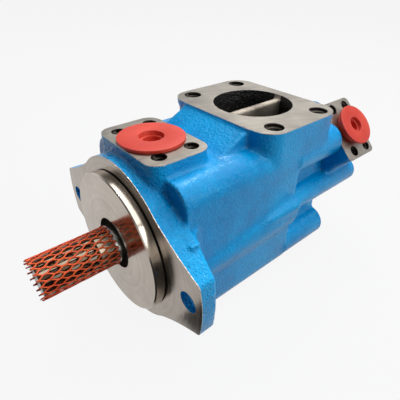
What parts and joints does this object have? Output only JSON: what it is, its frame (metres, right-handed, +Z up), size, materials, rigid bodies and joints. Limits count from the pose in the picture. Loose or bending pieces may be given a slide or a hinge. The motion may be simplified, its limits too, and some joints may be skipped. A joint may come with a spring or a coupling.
{
  "type": "hydraulic vane pump",
  "caption": "Double hydraulic vane pump: blue cast housing with two-bolt mounting flange, splined shaft, shared inlet port on top, two capped outlets.",
  "frame": {"origin": "centre of the pilot where it meets the mounting flange's face, on the shaft's axis", "axes": "+Y along the shaft's axis towards the rear cover, so that the drive end points along -Y; +Z up through the inlet port; +X to the right, seen from the drive end's side towards the rear"},
  "size_m": [0.213, 0.3407, 0.1639],
  "materials": {
    "painted_casting": "blue gloss paint over sand-cast iron, with bare milled faces",
    "black_screws": "black oxide",
    "seal_rubber": "smooth nitrile rubber",
    "bronze": "machined bronze",
    "plain_iron": "ground",
    "polished_steel": "polished",
    "machined_steel": "turned and ground steel",
    "orange_net": "translucent net, modelled as a plain tube",
    "red_plastic": "soft moulded plastic"
  },
  "bodies": {
    "housing": {"front_body": "painted_casting", "inlet_body": "painted_casting", "rear_cover": "painted_casting", "body_screws": "black_screws", "cover_screws": "black_screws", "body_seal_ring": "seal_rubber", "cover_seal_ring": "seal_rubber", "shaft_seal_outer": "seal_rubber", "shaft_seal_inner": "seal_rubber", "seal_springs": "machined_steel", "bearing_outer_ring": "machined_steel", "bearing_retaining_ring": "machined_steel", "rear_bush": "bronze", "front_outlet_support": "plain_iron", "front_outlet_flex_plate": "bronze", "front_cam_ring": "machined_steel", "front_inlet_flex_plate": "bronze", "front_inlet_support": "plain_iron", "front_cartridge_screws": "black_screws", "front_locating_pins": "machined_steel", "front_support_seal": "seal_rubber", "rear_inlet_support": "plain_iron", "rear_inlet_flex_plate": "bronze", "rear_cam_ring": "machined_steel", "rear_outlet_flex_plate": "bronze", "rear_outlet_support": "plain_iron", "rear_cartridge_screws": "black_screws", "rear_locating_pins": "machined_steel", "rear_support_seal": "seal_rubber"},
    "shaft": {"drive_shaft": "machined_steel", "bearing_inner_ring": "machined_steel", "shaft_retaining_ring": "machined_steel", "front_rotor": "machined_steel", "front_vanes": "machined_steel", "front_vane_inserts": "machined_steel", "rear_rotor": "machined_steel", "rear_vanes": "machined_steel", "rear_vane_inserts": "machined_steel"},
    "ball_cage": {"bearing_balls": "polished_steel", "bearing_cage": "bronze"},
    "sleeve": {"shaft_sleeve": "orange_net"},
    "plug_1": {"outlet_plug_1": "red_plastic"},
    "plug_2": {"outlet_plug_2": "red_plastic"}
  },
  "joints": [
    {"name": "shaft_spin", "type": "hinge", "parent": "housing", "child": "shaft", "pos_m": [0, 0, 0], "axis": [0, 1, 0], "continuous": true},
    {"name": "ball_cage_spin", "type": "hinge", "parent": "housing", "child": "ball_cage", "pos_m": [0, 0.026, 0], "axis": [0, 1, 0], "continuous": true},
    {"name": "sleeve_pull", "type": "slide", "parent": "shaft", "child": "sleeve", "axis": [0, -1, 0], "range_m": [0, 0.08]},
    {"name": "plug_1_pull", "type": "slide", "parent": "housing", "child": "plug_1", "axis": [0, 0, 1], "range_m": [0, 0.05]},
    {"name": "plug_2_pull", "type": "slide", "parent": "housing", "child": "plug_2", "axis": [0.7071, 0, 0.7071], "range_m": [0, 0.05]}
  ],
  "couplings": [
    {"joint": "ball_cage_spin", "follows": "shaft_spin", "ratio": 0.4}
  ]
}
